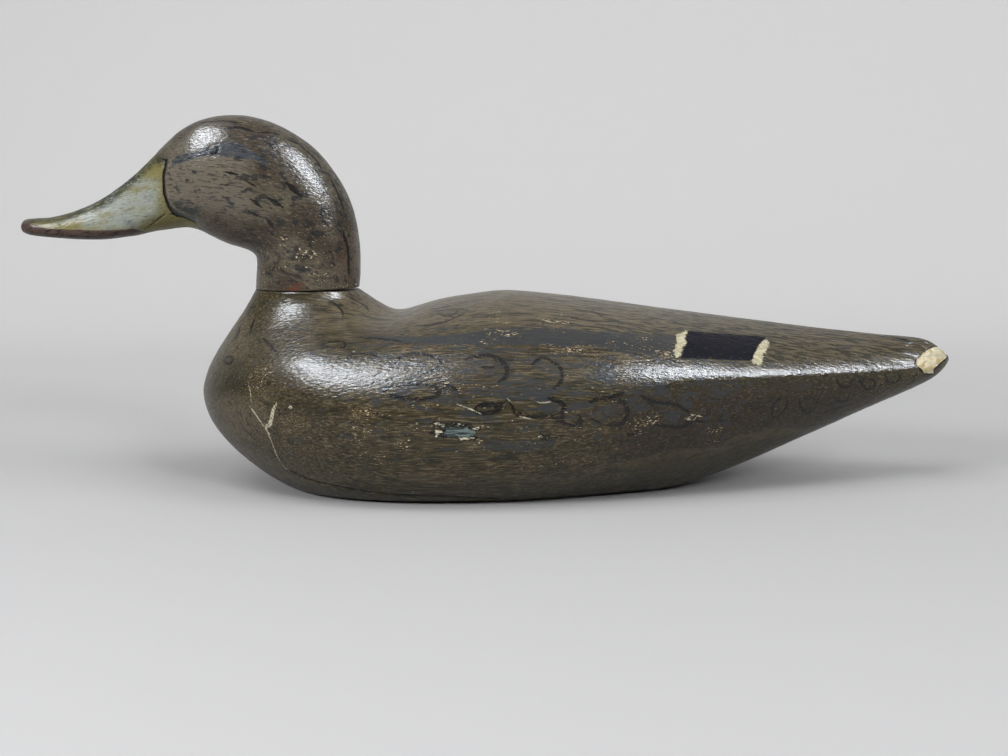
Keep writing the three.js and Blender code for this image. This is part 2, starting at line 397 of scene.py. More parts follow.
class Surface:
    """A lofted mesh as arrays, with what paint needs to find its place on it."""

    def __init__(self, mesh):
        self.mesh = mesh
        self.points = vectors(mesh.vertices, "co")
        self.normals = vectors(mesh.vertex_normals, "vector")
        faces = [tuple(p.vertices) for p in mesh.polygons]
        self.tree = BVHTree.FromPolygons([tuple(p) for p in self.points], faces)
        self.near = self.points[:, 1] <= 0
        # The far side is painted like the near one, a little shifted.
        self.twin = self.points * np.where(self.near, 1, -1)[:, None] ** np.array([0, 1, 0])
        shift = np.stack([rough(self.points, SHIFT_SIZE, seed, 1) for seed in SHIFT_SEEDS], 1)
        for i in np.nonzero(~self.near)[0]:
            moved = Vector(self.twin[i] + FAR_SHIFT * shift[i])
            self.twin[i] = self.tree.find_nearest(moved)[0]
        self.pixels = to_pixels(self.twin)

    def lay(self, pixels, step=1):
        """Points and normals on the surface under a smooth path of pixels."""
        places = []
        for pixel in smooth_path(pixels, step):
            point, normal, _, _ = self.tree.ray_cast(Vector(CAMERA_PLACE), pixel_ray(pixel))
            if point is not None:
                places.append((point, normal))
        return places

    def inside(self, outline):
        """Whether each point's pixel is inside a closed outline of pixels."""
        x, y = self.pixels.T
        found = np.zeros(len(x), bool)
        for (ax, ay), (bx, by) in zip(outline, outline[1:] + outline[:1]):
            if ay == by:
                continue
            crosses = ((y < ay) != (y < by)) & (x < ax + (y - ay) / (by - ay) * (bx - ax))
            found ^= crosses
        return found

    def area(self, outlines):
        """Signed distance from each point to the nearest of some closed outlines, negative inside."""
        strokes = Strokes(self)
        inside = np.zeros(len(self.points), bool)
        for outline in outlines:
            closed = np.array(outline + outline[:1], float)
            for a, b in zip(closed[:-1], closed[1:]):
                path = [tuple(a), tuple((a + b) / 2), tuple(b)]
                strokes.add(path, 1, step=OUTLINE_STEP, taper=0)
            inside |= self.inside(outline)
        reach = strokes.measure()[:, 1]
        return np.where(inside, -reach, reach)

    def patch(self, area):
        """1 inside an area's boxes of pixels (x0, y0, x1, y1), fading to 0 over some pixels."""
        soft, boxes = area
        x, y = self.pixels.T
        found = np.zeros(len(x))
        for x0, y0, x1, y1 in boxes:
            across = np.maximum(np.maximum(x0 - x, x - x1), 0)
            down = np.maximum(np.maximum(y0 - y, y - y1), 0)
            found = np.maximum(found, 1 - smoothstep(np.hypot(across, down), 0, soft))
        return found

    def below(self, line):
        """How far each point lies below a line of pixels that runs from left to right."""
        xs, ys = np.array(line, float).T
        return (self.pixels[:, 1] - np.interp(self.pixels[:, 0], xs, ys)) * PIXEL

    def near_only(self, values, away=FAR_AWAY):
        """The values on the near side, and a value far away from any paint on the other."""
        return np.where(self.near, values, away)

    def keep(self, name, columns):
        """Stores one to three numbers a vertex on the mesh, for its material to read."""
        attribute = self.mesh.attributes.new(name, "FLOAT_VECTOR", "POINT")
        values = np.zeros((len(self.points), 3), np.float32)
        for c, column in enumerate(columns):
            values[:, c] = column
        attribute.data.foreach_set("vector", values.ravel())


class Strokes:
    """Brush strokes on a surface, kept as close samples that every vertex is measured against."""

    def __init__(self, surface):
        self.surface = surface
        self.samples = []

    def add(self, pixels, width, step=1, taper=TAPER):
        """Adds one stroke along a path of pixels, of a width in millimetres, thinner at its ends."""
        places = self.surface.lay(pixels, step)
        if len(places) < 2:
            return
        spots = np.array([tuple(p) for p, _ in places])
        normals = np.array([tuple(n) for _, n in places])
        along = np.gradient(spots, axis=0)
        across = np.cross(normals, along)
        across /= np.maximum(np.linalg.norm(across, axis=1), TINY)[:, None]
        travel = travelled(np.linalg.norm(np.diff(spots, axis=0), axis=1))
        to_end = np.minimum(travel, travel[-1] - travel)
        narrow = np.sqrt(np.clip((to_end + BLUNT) / taper, 0, 1)) if taper else np.ones(len(spots))
        for spot, side, share in zip(spots, across, narrow):
            self.samples.append((spot, side, 0.5 * width * share))

    def measure(self):
        """Signed distance to the side of the nearest stroke, distance to it, and its half width."""
        tree = KDTree(len(self.samples))
        for i, (spot, _, _) in enumerate(self.samples):
            tree.insert(spot, i)
        tree.balance()
        found = np.empty((len(self.surface.points), 3))
        for k, point in enumerate(self.surface.twin):
            spot, i, reach = tree.find(point)
            _, side, half_width = self.samples[i]
            found[k] = ((point - np.array(spot)) @ side, reach, half_width)
        return found


def stroked(surface, strokes, near_only=False):
    """Distances from every vertex to a list of strokes, each a width and a path of pixels."""
    laid = Strokes(surface)
    for width, path in strokes:
        laid.add(path, width)
    side, reach, half_width = laid.measure().T
    if near_only:
        side, reach = surface.near_only(side), surface.near_only(reach)
    return side, reach, half_width


# Paint on the body, as pixels of the photograph

SPECULUM = [(684, 330.5), (766, 337), (751, 361), (680, 358)]
BARS = [
    [(688, 330), (675.5, 334.7), (677.4, 342.4), (673.6, 352), (675.5, 358), (681.2, 356),
     (683.1, 348), (687, 342.4), (685, 336.7)],
    [(765.7, 337.7), (770.2, 343.9), (765.7, 350.2), (763, 356.4), (761.3, 365.4), (751.4, 363.6),
     (754, 354.6), (758.6, 345.7)],
]
TAIL_CHIP = [
    (935.4, 346.6), (942.5, 345.7), (949, 350), (946, 358.2), (939, 363.6), (933.6, 369),
    (933.6, 373.4), (924.6, 373.4), (922, 369), (915.7, 364.5), (916.6, 360), (922.9, 352.9),
    (930, 348.4),
]
CHIPS = [
    [(429.6, 424.6), (436, 422.8), (446.2, 424.4), (456.4, 423.4), (467.9, 424.6), (480.7, 427.6),
     (478.1, 430.2), (466, 427.8), (450, 426.8), (436, 427.8)],
    [(430.5, 433.4), (436, 431.6), (442, 432.4), (447.5, 435.4), (444, 437.4), (435, 436.8)],
    [(456, 437.8), (466, 436.6), (479.4, 438.4), (468, 440), (458, 440)],
    [(531.7, 433.8), (538, 435), (548.3, 436.3), (547.6, 440.1), (543.2, 439.5), (536.8, 435.7)],
]
# The bare grey wood in the middle of the largest chip.
CHIP_HEART = [
    (443, 429), (452, 427.4), (464, 428), (477.5, 431), (473, 436.4), (458, 437),
    (449, 436.6), (445, 432.6),
]

# Brushwork in slate grey: the long band on the back, and shorter dabs on the flank.
SLATE_AREAS = [
    [(360, 336), (400, 336.7), (438, 335.7), (467, 332.8), (495.7, 328), (534, 328), (572, 328),
     (591, 331.9), (629.6, 332.8), (675.5, 336.7), (673.6, 350), (648.7, 353.9), (610.5, 350),
     (581.8, 344.3), (553, 347.2), (524, 344.3), (486, 344.3), (457.4, 345.3), (400, 342)],
    [(533, 358.5), (541, 357), (543, 364), (535, 367)],
    [(597, 369), (606, 366), (616, 369), (615, 380), (604, 382), (597, 378)],
    [(708, 386), (724, 389), (742, 383.5), (739, 389), (727, 391.5), (712, 389.5)],
    [(646, 389.5), (658, 391), (672, 394), (668, 397), (655, 395)],
    [(441, 379), (450, 377), (456, 382), (454, 391), (443, 390)],
    [(398, 382), (416, 380.5), (418, 385), (402, 388)],
    [(376, 386), (390, 384.5), (391, 390), (380, 393)],
    [(512, 388), (530, 386), (551, 392), (549, 400), (530, 398), (514, 395)],
    [(469, 390), (490, 388), (510, 391), (508, 397), (486, 397), (471, 396)],
    [(482, 445), (500, 441), (530, 442), (556, 440.5), (553, 446), (530, 449), (484, 450)],
    [(756.8, 388.6), (765.7, 389.5), (764, 394), (758, 393)],
    [(796, 383.5), (810, 384.5), (806, 388.6), (799, 388)],
    [(537.5, 409), (543, 405.5), (552, 406), (556.5, 409), (551, 412), (542, 412)],
    [(598, 407), (606, 405.5), (619, 411), (618, 415), (608, 413), (598, 411.5)],
    [(667, 411), (674, 409), (680, 416), (676, 424), (667, 422)],
]

# Each stroke of dark paint is its width and its path. Most are feather loops.
DARK_STROKES = [
    (1.5, [(466.6, 359.1), (474.3, 356.6), (487, 355.3), (497.2, 357.9), (504.9, 364.2),
           (507.4, 370.6), (506.2, 377), (499.8, 380.8)]),
    (1.0, [(482, 367.4), (493.4, 367.4)]),
    (1.2, [(533, 364.2), (538, 359.1), (545.7, 357.9), (554.6, 363), (561, 369.3), (562.3, 377),
           (559.7, 383.4), (554.6, 387.2)]),
    (1.4, [(476.9, 406.3), (487, 403.8), (499.8, 405), (500.4, 408.9), (493.4, 412), (479.4, 413.3),
           (474.3, 409.5)]),
    (1.6, [(516.4, 411.4), (522.8, 415.3), (535.5, 416.5), (550.8, 416.5), (561, 415.3),
           (564.2, 410.2), (563.6, 405), (558.5, 401.2), (549.5, 398.7)]),
    (1.3, [(578.9, 415.3), (581.4, 421.6), (580, 426.7)]),
    (0.8, [(554.6, 419.7), (570, 424.8), (580, 428)]),
    (0.8, [(508.5, 400), (512.5, 406.3), (514, 414)]),
    (1.5, [(614.6, 401.2), (624, 403), (627.4, 410), (625.8, 419), (621, 424.2), (608.3, 424.8)]),
    (0.8, [(591.7, 419), (600.6, 423)]),
    (1.0, [(641.4, 396), (649, 400), (659.3, 402.5), (670.8, 403.8), (679.7, 406.3), (691, 414)]),
    (1.0, [(651.6, 424.2), (665.7, 426), (678.4, 427.4), (686, 426.7)]),
    (0.9, [(685, 421.6), (695, 421), (704, 421.8)]),
    (0.9, [(638.9, 429.3), (633.8, 434.4), (628.7, 435)]),
    (0.8, [(787, 398.4), (786.3, 406.4), (781.8, 413.6), (774.6, 418), (772, 411.8), (774.6, 402.9),
           (781.8, 397.5)]),
    (0.8, [(799.6, 401), (801.4, 408.2), (806.8, 412.7), (814, 410), (818.4, 399.3)]),
    (0.8, [(835.4, 397.5), (839, 401), (846, 401), (848, 397.5)]),
    (0.9, [(821, 413.6), (837, 408.2), (851.4, 404.6)]),
    (0.8, [(837, 380.5), (840.7, 385.9), (847.9, 386.8), (852.3, 380.5)]),
    (0.8, [(860.4, 381.4), (865.7, 388.6), (874.6, 386.8), (872.9, 379.6), (866, 380)]),
    (0.8, [(885.4, 374.3), (887, 381.4), (894.3, 383.2), (899.6, 377.9), (897.9, 373.4)]),
    (0.8, [(407.7, 313.7), (419, 310.8), (438.3, 308), (453.6, 305), (461.2, 303.2)]),
    (0.8, [(434.4, 310.8), (453.6, 309), (467, 309)]),
    (0.9, [(415.3, 326), (430.6, 325.2), (446, 321.3), (461.2, 314.7)]),
    (0.6, [(430.6, 316.6), (438.3, 313.7), (447.8, 316.6), (457.4, 311.8)]),
    (0.8, [(566, 315.6), (580, 319.4), (599, 321.3), (618, 321.3)]),
    (0.7, [(578, 310), (593, 311.8), (602.8, 316.6)]),
    (1.4, [(362, 337.3), (380, 338.5), (400, 341)]),
    (0.9, [(311, 353.9), (314.8, 356.4), (322.4, 357.7), (328.8, 360.3), (327.5, 364), (320, 362.8),
           (313.5, 359)]),
    (0.9, [(321, 345), (327.5, 342.4), (341.6, 341), (344.8, 343.7), (344, 347.5), (334, 347.5),
           (325, 346.2)]),
    (1.0, [(346.7, 360.3), (350.5, 355), (358, 353.2), (369.6, 353.9), (376, 356.4)]),
    (1.3, [(394, 364), (401, 357), (415, 354), (431, 356), (440, 361), (437, 368), (426, 373)]),
    (1.2, [(384, 392), (392, 386.5), (410, 384.5), (430, 386), (440, 391), (435, 397), (419, 399),
           (400, 397.5), (388, 395)]),
    (1.6, [(443, 383), (449, 387), (458, 390)]),
    (1.2, [(590, 402), (600, 398.5), (612, 397), (622, 393)]),
    (0.8, [(327.5, 299), (335, 304), (341.6, 310.5), (342.9, 315.6)]),
    (0.8, [(348, 296.5), (355.6, 300.3), (364.5, 305.4), (368.4, 310.5)]),
    (0.9, [(263.8, 338.6), (268.9, 343.7), (274, 350), (276.5, 351.3)]),
    (1.0, [(224, 359), (229, 356.5), (233, 359), (230, 363.5), (225, 362.5)]),
    (1.2, [(240, 327), (238, 334), (234, 340)]),
    (1.0, [(255, 318), (252, 325), (251, 331)]),
]
# Splits in the end grain on the tail's top edge.
TAIL_SPLITS = [
    (0.8, [(893, 337), (905, 340), (918, 341), (930, 344)]),
    (0.8, [(903, 343), (915, 344), (926, 349)]),
    (0.6, [(880, 341), (896, 344), (908, 346)]),
]

# The filled crack in the breast, and other thin pale marks.
PALE_STROKES = [
    (0.5, [(249, 387), (250.4, 393.4), (251, 401)]),
    (0.5, [(250.4, 407.4), (256, 415), (261.2, 422.8), (267.6, 433)]),
    (1.8, [(275.6, 405), (272.7, 412.6), (271.4, 419), (269.5, 426.6)]),
    (1.2, [(265.5, 426), (268, 432), (269.5, 438)]),
    (0.5, [(269.5, 436), (273, 446), (277, 456), (283, 466)]),
    (0.5, [(290, 405.2), (292, 407.4), (290, 409.4), (288, 407.4), (290, 405.2)]),
    (0.5, [(459, 405), (468, 408.2), (475.6, 411.4), (479.4, 413.3)]),
    (0.5, [(519, 416.5), (531.7, 419)]),
    (0.5, [(535.5, 401.2), (541, 402.8), (549.5, 402)]),
    (0.5, [(692, 414.6), (701, 416.5)]),
    (0.7, [(686, 419), (692.4, 420.4)]),
    (0.5, [(508.5, 399.5), (512, 403)]),
    (0.7, [(281, 463), (285, 468)]),
]
CRACK = [
    (1.0, [(287, 469), (302, 477), (313, 481), (325, 484), (345, 488), (370, 492), (400, 495),
           (438, 496), (470, 498), (499, 499)]),
]

# Areas that are worn to flecks or painted otherwise: how many pixels they fade over, and their boxes.
WORN_CLUSTERS = (9, [
    (250, 367, 271, 386), (382, 423, 400, 430), (398, 437, 410, 446), (484, 337, 515, 344),
    (495, 314, 507, 323), (541, 314, 568, 325), (584, 342, 630, 354), (637, 334, 647, 338),
    (577, 429, 584, 436), (611, 446, 621, 448), (506, 412, 516, 420), (708, 429, 719, 446),
    (628.7, 423, 637.6, 434), (640, 416, 660, 423), (692, 413, 702, 418), (534, 348, 580, 351),
    (446, 377, 462, 389), (353, 410, 370, 442), (486, 330, 520, 338), (640, 350, 676, 356),
])
WORN_FLANK = (70, [(380, 395, 600, 452)])
TAN_PATCHES = (16, [
    (486, 463, 529, 467), (421, 464, 454, 472), (577, 461, 590, 464), (284, 419, 298, 428),
    (357, 411, 368, 418), (520, 348, 640, 351), (400, 348, 470, 350),
])
SLATE_BRUSHED = (45, [(385, 352, 720, 398)])
REAR_BROWN = (60, [(650, 412, 850, 470)])
TAIL_TOP = (40, [(560, 290, 940, 345)])
BREAST_DARK = (16, [(214, 374, 244, 390), (300, 404, 340, 412)])
BREAST_PALE = (14, [(232, 398, 262, 430), (226, 320, 246, 350)])
# The lighter top of the back is painted sheen: the bright room reflected on its upward surfaces.
SADDLE_SHEEN = (24, [(330, 285, 700, 318)])
HALF_WORN = 0.5
BELLY_LINE = [
    (560, 475), (624.8, 461), (646.5, 456), (672, 449.7), (697.6, 448.4), (723, 444.6),
    (735.8, 434.4), (748.6, 433), (770, 428), (805, 428), (860, 420),
]

# The body's mesh is finer so many pixels from the crack, and past an x and a z at the tail.
CRACK_BAND = 4
CRACK_SPAN = (284, 503)
TAIL_DETAIL = (190, 45)

# The body's relief. Waves are a depth, the size of one bump and a seed, and a cut is a depth and a
# half width. An edge is where a step begins and is full, from the signed distance to its outline.
BODY_WAVES = [(0.15, (34, 24, 24), 7), (0.04, (9, 2.6, 2.6), 9)]
BRUSH_MARKS = ((40, 2.4, 2.4), 8)
BRUSH_DEPTH = 0.05
TAIL_TOP_DEPTH = 0.10
FLOOR_FADE = (0.05, 6)
TIP_FADE = (TIP, TIP - 8)
CRACK_CUT = (0.9, 1.2)
SPLIT_CUT = (0.3, 1.1)
CHIP_DEPTH = 0.3
CHIP_EDGE = (0.4, -0.4)
BROKEN_DEPTH = 0.4
BROKEN_EDGE = (0.6, -0.6)
BROKEN_WAVES = [(0.5, (3, 3, 3), 11)]


def body_near_detail(points):
    """Where the body's mesh is finer: along the crack, and at the tail's broken tip."""
    x, y = to_pixels(points).T
    crack = np.abs(y - np.interp(x, *np.array(CRACK[0][1], float).T)) < CRACK_BAND
    crack &= (x > CRACK_SPAN[0]) & (x < CRACK_SPAN[1]) & (points[:, 1] < 0)
    return crack | (points[:, 0] > TAIL_DETAIL[0]) & (points[:, 2] > TAIL_DETAIL[1])


def paint_body(surface):
    """Works out every paint field of the body."""
    surface.keep("dark_strokes", stroked(surface, DARK_STROKES))
    surface.keep("pale_strokes", stroked(surface, PALE_STROKES, near_only=True))
    surface.crack = stroked(surface, CRACK, near_only=True)
    surface.keep("crack", surface.crack)
    surface.splits = stroked(surface, TAIL_SPLITS)
    surface.keep("splits", surface.splits)
    surface.chips = surface.near_only(surface.area(CHIPS))
    surface.tail_chip = surface.area([TAIL_CHIP])
    heart = surface.near_only(surface.area([CHIP_HEART]))
    surface.keep("chips", [surface.chips, surface.tail_chip, heart])
    surface.keep("wing", [surface.area(outlines) for outlines in ([SPECULUM], BARS, SLATE_AREAS)])
    clusters = surface.near_only(surface.patch(WORN_CLUSTERS), 0)
    worn = np.maximum(clusters, HALF_WORN * surface.patch(WORN_FLANK))
    surface.keep("wear", [worn, surface.patch(SLATE_BRUSHED), surface.patch(TAN_PATCHES)])
    surface.top = surface.patch(TAIL_TOP)
    surface.keep("zones", [surface.patch(REAR_BROWN), surface.below(BELLY_LINE), surface.top])
    surface.keep("breast_tints_and_back_sheen", [surface.patch(a) for a in (BREAST_DARK, BREAST_PALE, SADDLE_SHEEN)])


def body_relief(surface):
    """How far each point of the body lies under its smooth surface."""
    points = surface.points
    depth = waves(points, BODY_WAVES)
    depth += (BRUSH_DEPTH + TAIL_TOP_DEPTH * surface.top) * rough(points, *BRUSH_MARKS)
    ends = smoothstep(np.abs(points[:, 0]), *TIP_FADE)
    depth *= smoothstep(points[:, 2], *FLOOR_FADE) * ends
    depth += groove(surface.crack[1], *CRACK_CUT)
    depth += groove(surface.splits[1], *SPLIT_CUT)
    depth += CHIP_DEPTH * smoothstep(surface.chips, *CHIP_EDGE)
    broken = smoothstep(surface.tail_chip, *BROKEN_EDGE)
    depth += broken * np.maximum(BROKEN_DEPTH + waves(points, BROKEN_WAVES), 0)
    return depth


# Paint on the head, as pixels of the photograph

EYE = (213.2, 149.7)
EYE_RADIUS = 2.2
EYE_STRIPE = [
    (172, 160.5), (176.8, 156.6), (190, 152.5), (206, 149.5), (210.5, 146), (215.6, 143.8),
    (225, 141.4), (235.7, 141.8), (243.7, 145.2), (251.8, 150.5), (259.8, 155.9), (270, 163),
    (268, 165.3), (257, 160.6), (246.4, 159.2), (235.7, 157.9), (225, 155.9), (217, 155.2),
    (203.6, 156.6), (190, 159.9), (175.4, 164.6), (171.5, 168),
]
RIM_LINE = [
    (20, 217), (27, 220.5), (33.2, 225), (47.7, 228.6), (75.6, 229.8), (99.8, 230.4),
    (120.4, 230), (134, 228.8), (146, 232), (170, 240),
]
HEAD_DARK_STROKES = [
    (1.2, [(171.8, 214.2), (178.2, 216), (185.8, 216.7), (192.2, 219.3), (197.3, 221.8)]),
    (0.6, [(165.4, 214.2), (157.8, 219.9), (151.4, 225), (145.6, 228.8)]),
    (1.6, [(225, 129), (238, 127.5), (253, 131.5)]),
    (1.3, [(260, 132.5), (270, 132.5)]),
    (2.4, [(266, 142), (276, 148.5)]),
    (1.0, [(200, 122.5), (222, 121), (243, 123)]),
    (1.2, [(288, 139.5), (297, 143.5)]),
    (1.0, [(303, 148), (316, 160), (322, 170)]),
    (2.6, [(288, 184), (300, 195)]),
    (2.0, [(252, 200), (260, 206)]),
    (2.4, [(270, 199), (281, 206)]),
    (2.2, [(267, 219), (273, 227)]),
    (1.6, [(250, 212), (259, 216)]),
    (1.4, [(226, 172), (236, 174)]),
    (1.2, [(246, 181), (255, 186)]),
    (1.2, [(331, 180), (338, 194), (344, 210)]),
    (1.6, [(343, 232), (348, 250), (349, 275)]),
]
SLATE_DABS = (40, [(262, 140, 330, 260)])
CHEEK_MAUVE = (22, [(172, 165, 240, 200)])
CHIN_GREEN = (8, [(171, 205, 181, 213), (184, 210, 196, 217)])
NECK_WORN = (26, [(262, 245, 330, 285)])
NECK_PALE = (8, [
    (297, 252, 315, 257), (281, 235, 287, 240), (310, 275, 327, 279), (344, 286, 359, 290),
])
RUST = (5, [(290, 285, 302, 291)])
NAPE_BROWN = (8, [(340, 240, 353, 290)])
NAPE_SHARE = 0.3
# The bill's grey patches: slate paint lightened to silver, part paint and part painted sheen.
BILL_GREY_AND_SHEEN = (20, [(112, 188, 148, 212), (88, 212, 130, 220)])
BILL_MUSTARD = (14, [(38, 216, 76, 224), (148, 164, 154, 172)])
BILL_STRIP = (8, [(150, 219, 197, 229)])
BILL_TOP = [(20, 214), (60, 214), (80, 209.8), (100, 200.5), (120, 187), (140, 169.5), (154, 156)]
CREST_FADE = (6.5, 2)

# The head's brushwork runs in wide, nearly level arcs round this place, x and z.
FLOW_CENTRE = (-140, -60)
FLOW_RADIUS = 200

# The dark cut behind the bill and the painted highlight along the cheek's edge beside it, which both
# end below a height.
CUT_TOP = 149.4
EDGE_HIGHLIGHT_TOP = 147
EDGE_HIGHLIGHT_PLACE = 1.9
EDGE_HIGHLIGHT_FADE = (0.7, 0.2)
EYE_STEP = 0.3

# The head's mesh is finer so close to the cut, and so far from its middle plane.
CHEEK_BAND = 2.5
MIDDLE_MARGIN = 1.5

# The head's relief, in the same terms as the body's.
HEAD_WAVES = [(0.12, (15, 12, 12), 17), (0.05, (5, 2, 2), 18)]
RIM_RISE = 0.2
RIM_EDGE = (-0.4, 0.2)
RIM_SPAN = (-165, -178)
RIM_TIP_FADE = (-TIP, -TIP + 6)
EYE_CUT = (0.25, 0.8)
MOUTH_CUT = (0.4, 0.9)
MOUTH_BACK = -140


def near_cheek(points):
    """Where the head's mesh is finer: along the cheek's cut."""
    distance = np.abs(line_distance(CHEEK_LINE, points[:, 0], points[:, 2] - SEAM_GAP))
    return (distance < CHEEK_BAND) & (np.abs(points[:, 1]) > MIDDLE_MARGIN)


def paint_head(surface):
    """Works out every paint field of the head."""
    points = surface.points
    cheek = line_distance(CHEEK_LINE, points[:, 0], points[:, 2] - SEAM_GAP)
    behind = points[:, 0] > CHEEK_END
    ahead = np.where(behind, -np.abs(cheek), -cheek)
    cut = np.where(points[:, 2] < CUT_TOP, np.abs(cheek), FAR_AWAY)
    surface.rim = surface.below(RIM_LINE)
    surface.keep("bill", [ahead, surface.rim, cut])
    surface.dark = stroked(surface, HEAD_DARK_STROKES)
    surface.keep("dark_strokes", surface.dark)
    eye_spot = Strokes(surface)
    path = [(EYE[0] + k * EYE_STEP, EYE[1]) for k in range(3)]
    eye_spot.add(path, 1, step=EYE_STEP, taper=0)
    surface.eye = eye_spot.measure()[:, 1]
    surface.keep("eye", [surface.eye, surface.area([EYE_STRIPE]), surface.patch(CHEEK_MAUVE)])
    scratches = surface.near_only(surface.patch(NECK_PALE), 0)
    worn = np.maximum(scratches, HALF_WORN * surface.patch(NECK_WORN))
    surface.keep("wear", [worn, surface.patch(SLATE_DABS), surface.patch(CHIN_GREEN)])
    crest = smoothstep(surface.below(BILL_TOP), *CREST_FADE)
    surface.keep("bill_tints", [surface.patch(BILL_GREY_AND_SHEEN), surface.patch(BILL_MUSTARD), crest])
    warm = np.maximum(surface.patch(RUST), NAPE_SHARE * surface.patch(NAPE_BROWN))
    edge_highlight = smoothstep(np.abs(cheek - EDGE_HIGHLIGHT_PLACE), *EDGE_HIGHLIGHT_FADE)
    edge_highlight *= points[:, 2] < EDGE_HIGHLIGHT_TOP
    surface.keep("warm", [warm, surface.patch(BILL_STRIP), edge_highlight])
    offset = points[:, [0, 2]] - FLOW_CENTRE
    swing = np.arctan2(offset[:, 0], offset[:, 1]) * FLOW_RADIUS
    flow = np.stack([swing, np.linalg.norm(offset, axis=1), points[:, 1]]) * METRES
    surface.keep("flow", flow)


def head_relief(surface):
    """How far each point of the head lies under its smooth surface."""
    points = surface.points
    depth = waves(points, HEAD_WAVES)
    depth *= smoothstep(np.abs(points[:, 0]), *TIP_FADE)
    rim = smoothstep(surface.rim, *RIM_EDGE) * smoothstep(points[:, 0], *RIM_SPAN)
    depth -= RIM_RISE * rim * smoothstep(points[:, 0], *RIM_TIP_FADE)
    depth += groove(surface.eye - EYE_RADIUS, *EYE_CUT)
    mouth = np.where(points[:, 0] < MOUTH_BACK, surface.dark[1], FAR_AWAY)
    depth += groove(mouth, *MOUTH_CUT)
    return depth


def dress(name, mesh, paint, relief, node, material):
    """Carves and paints one piece, which stands for a CAD node."""
    surface = Surface(mesh)
    paint(surface)
    moved = surface.points - surface.normals * relief(surface)[:, None]
    moved[:, 2] = np.maximum(moved[:, 2], 0)
    mesh.vertices.foreach_set("co", (moved * METRES).ravel())
    for polygon in mesh.polygons:
        polygon.use_smooth = True
    mesh.update()
    mesh.materials.append(material)
    piece = bpy.data.objects.new(name, mesh)
    bpy.context.scene.collection.objects.link(piece)
    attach(piece, "root")
    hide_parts(node)


# Materials

def colour(red, green, blue):
    """A colour given as it looks on a screen, from 0 to 255, as a shader's linear colour."""
    def linear(value):
        share = value / 255
        return share / 12.92 if share <= 0.04045 else ((share + 0.055) / 1.055) ** 2.4
    return (linear(red), linear(green), linear(blue), 1)


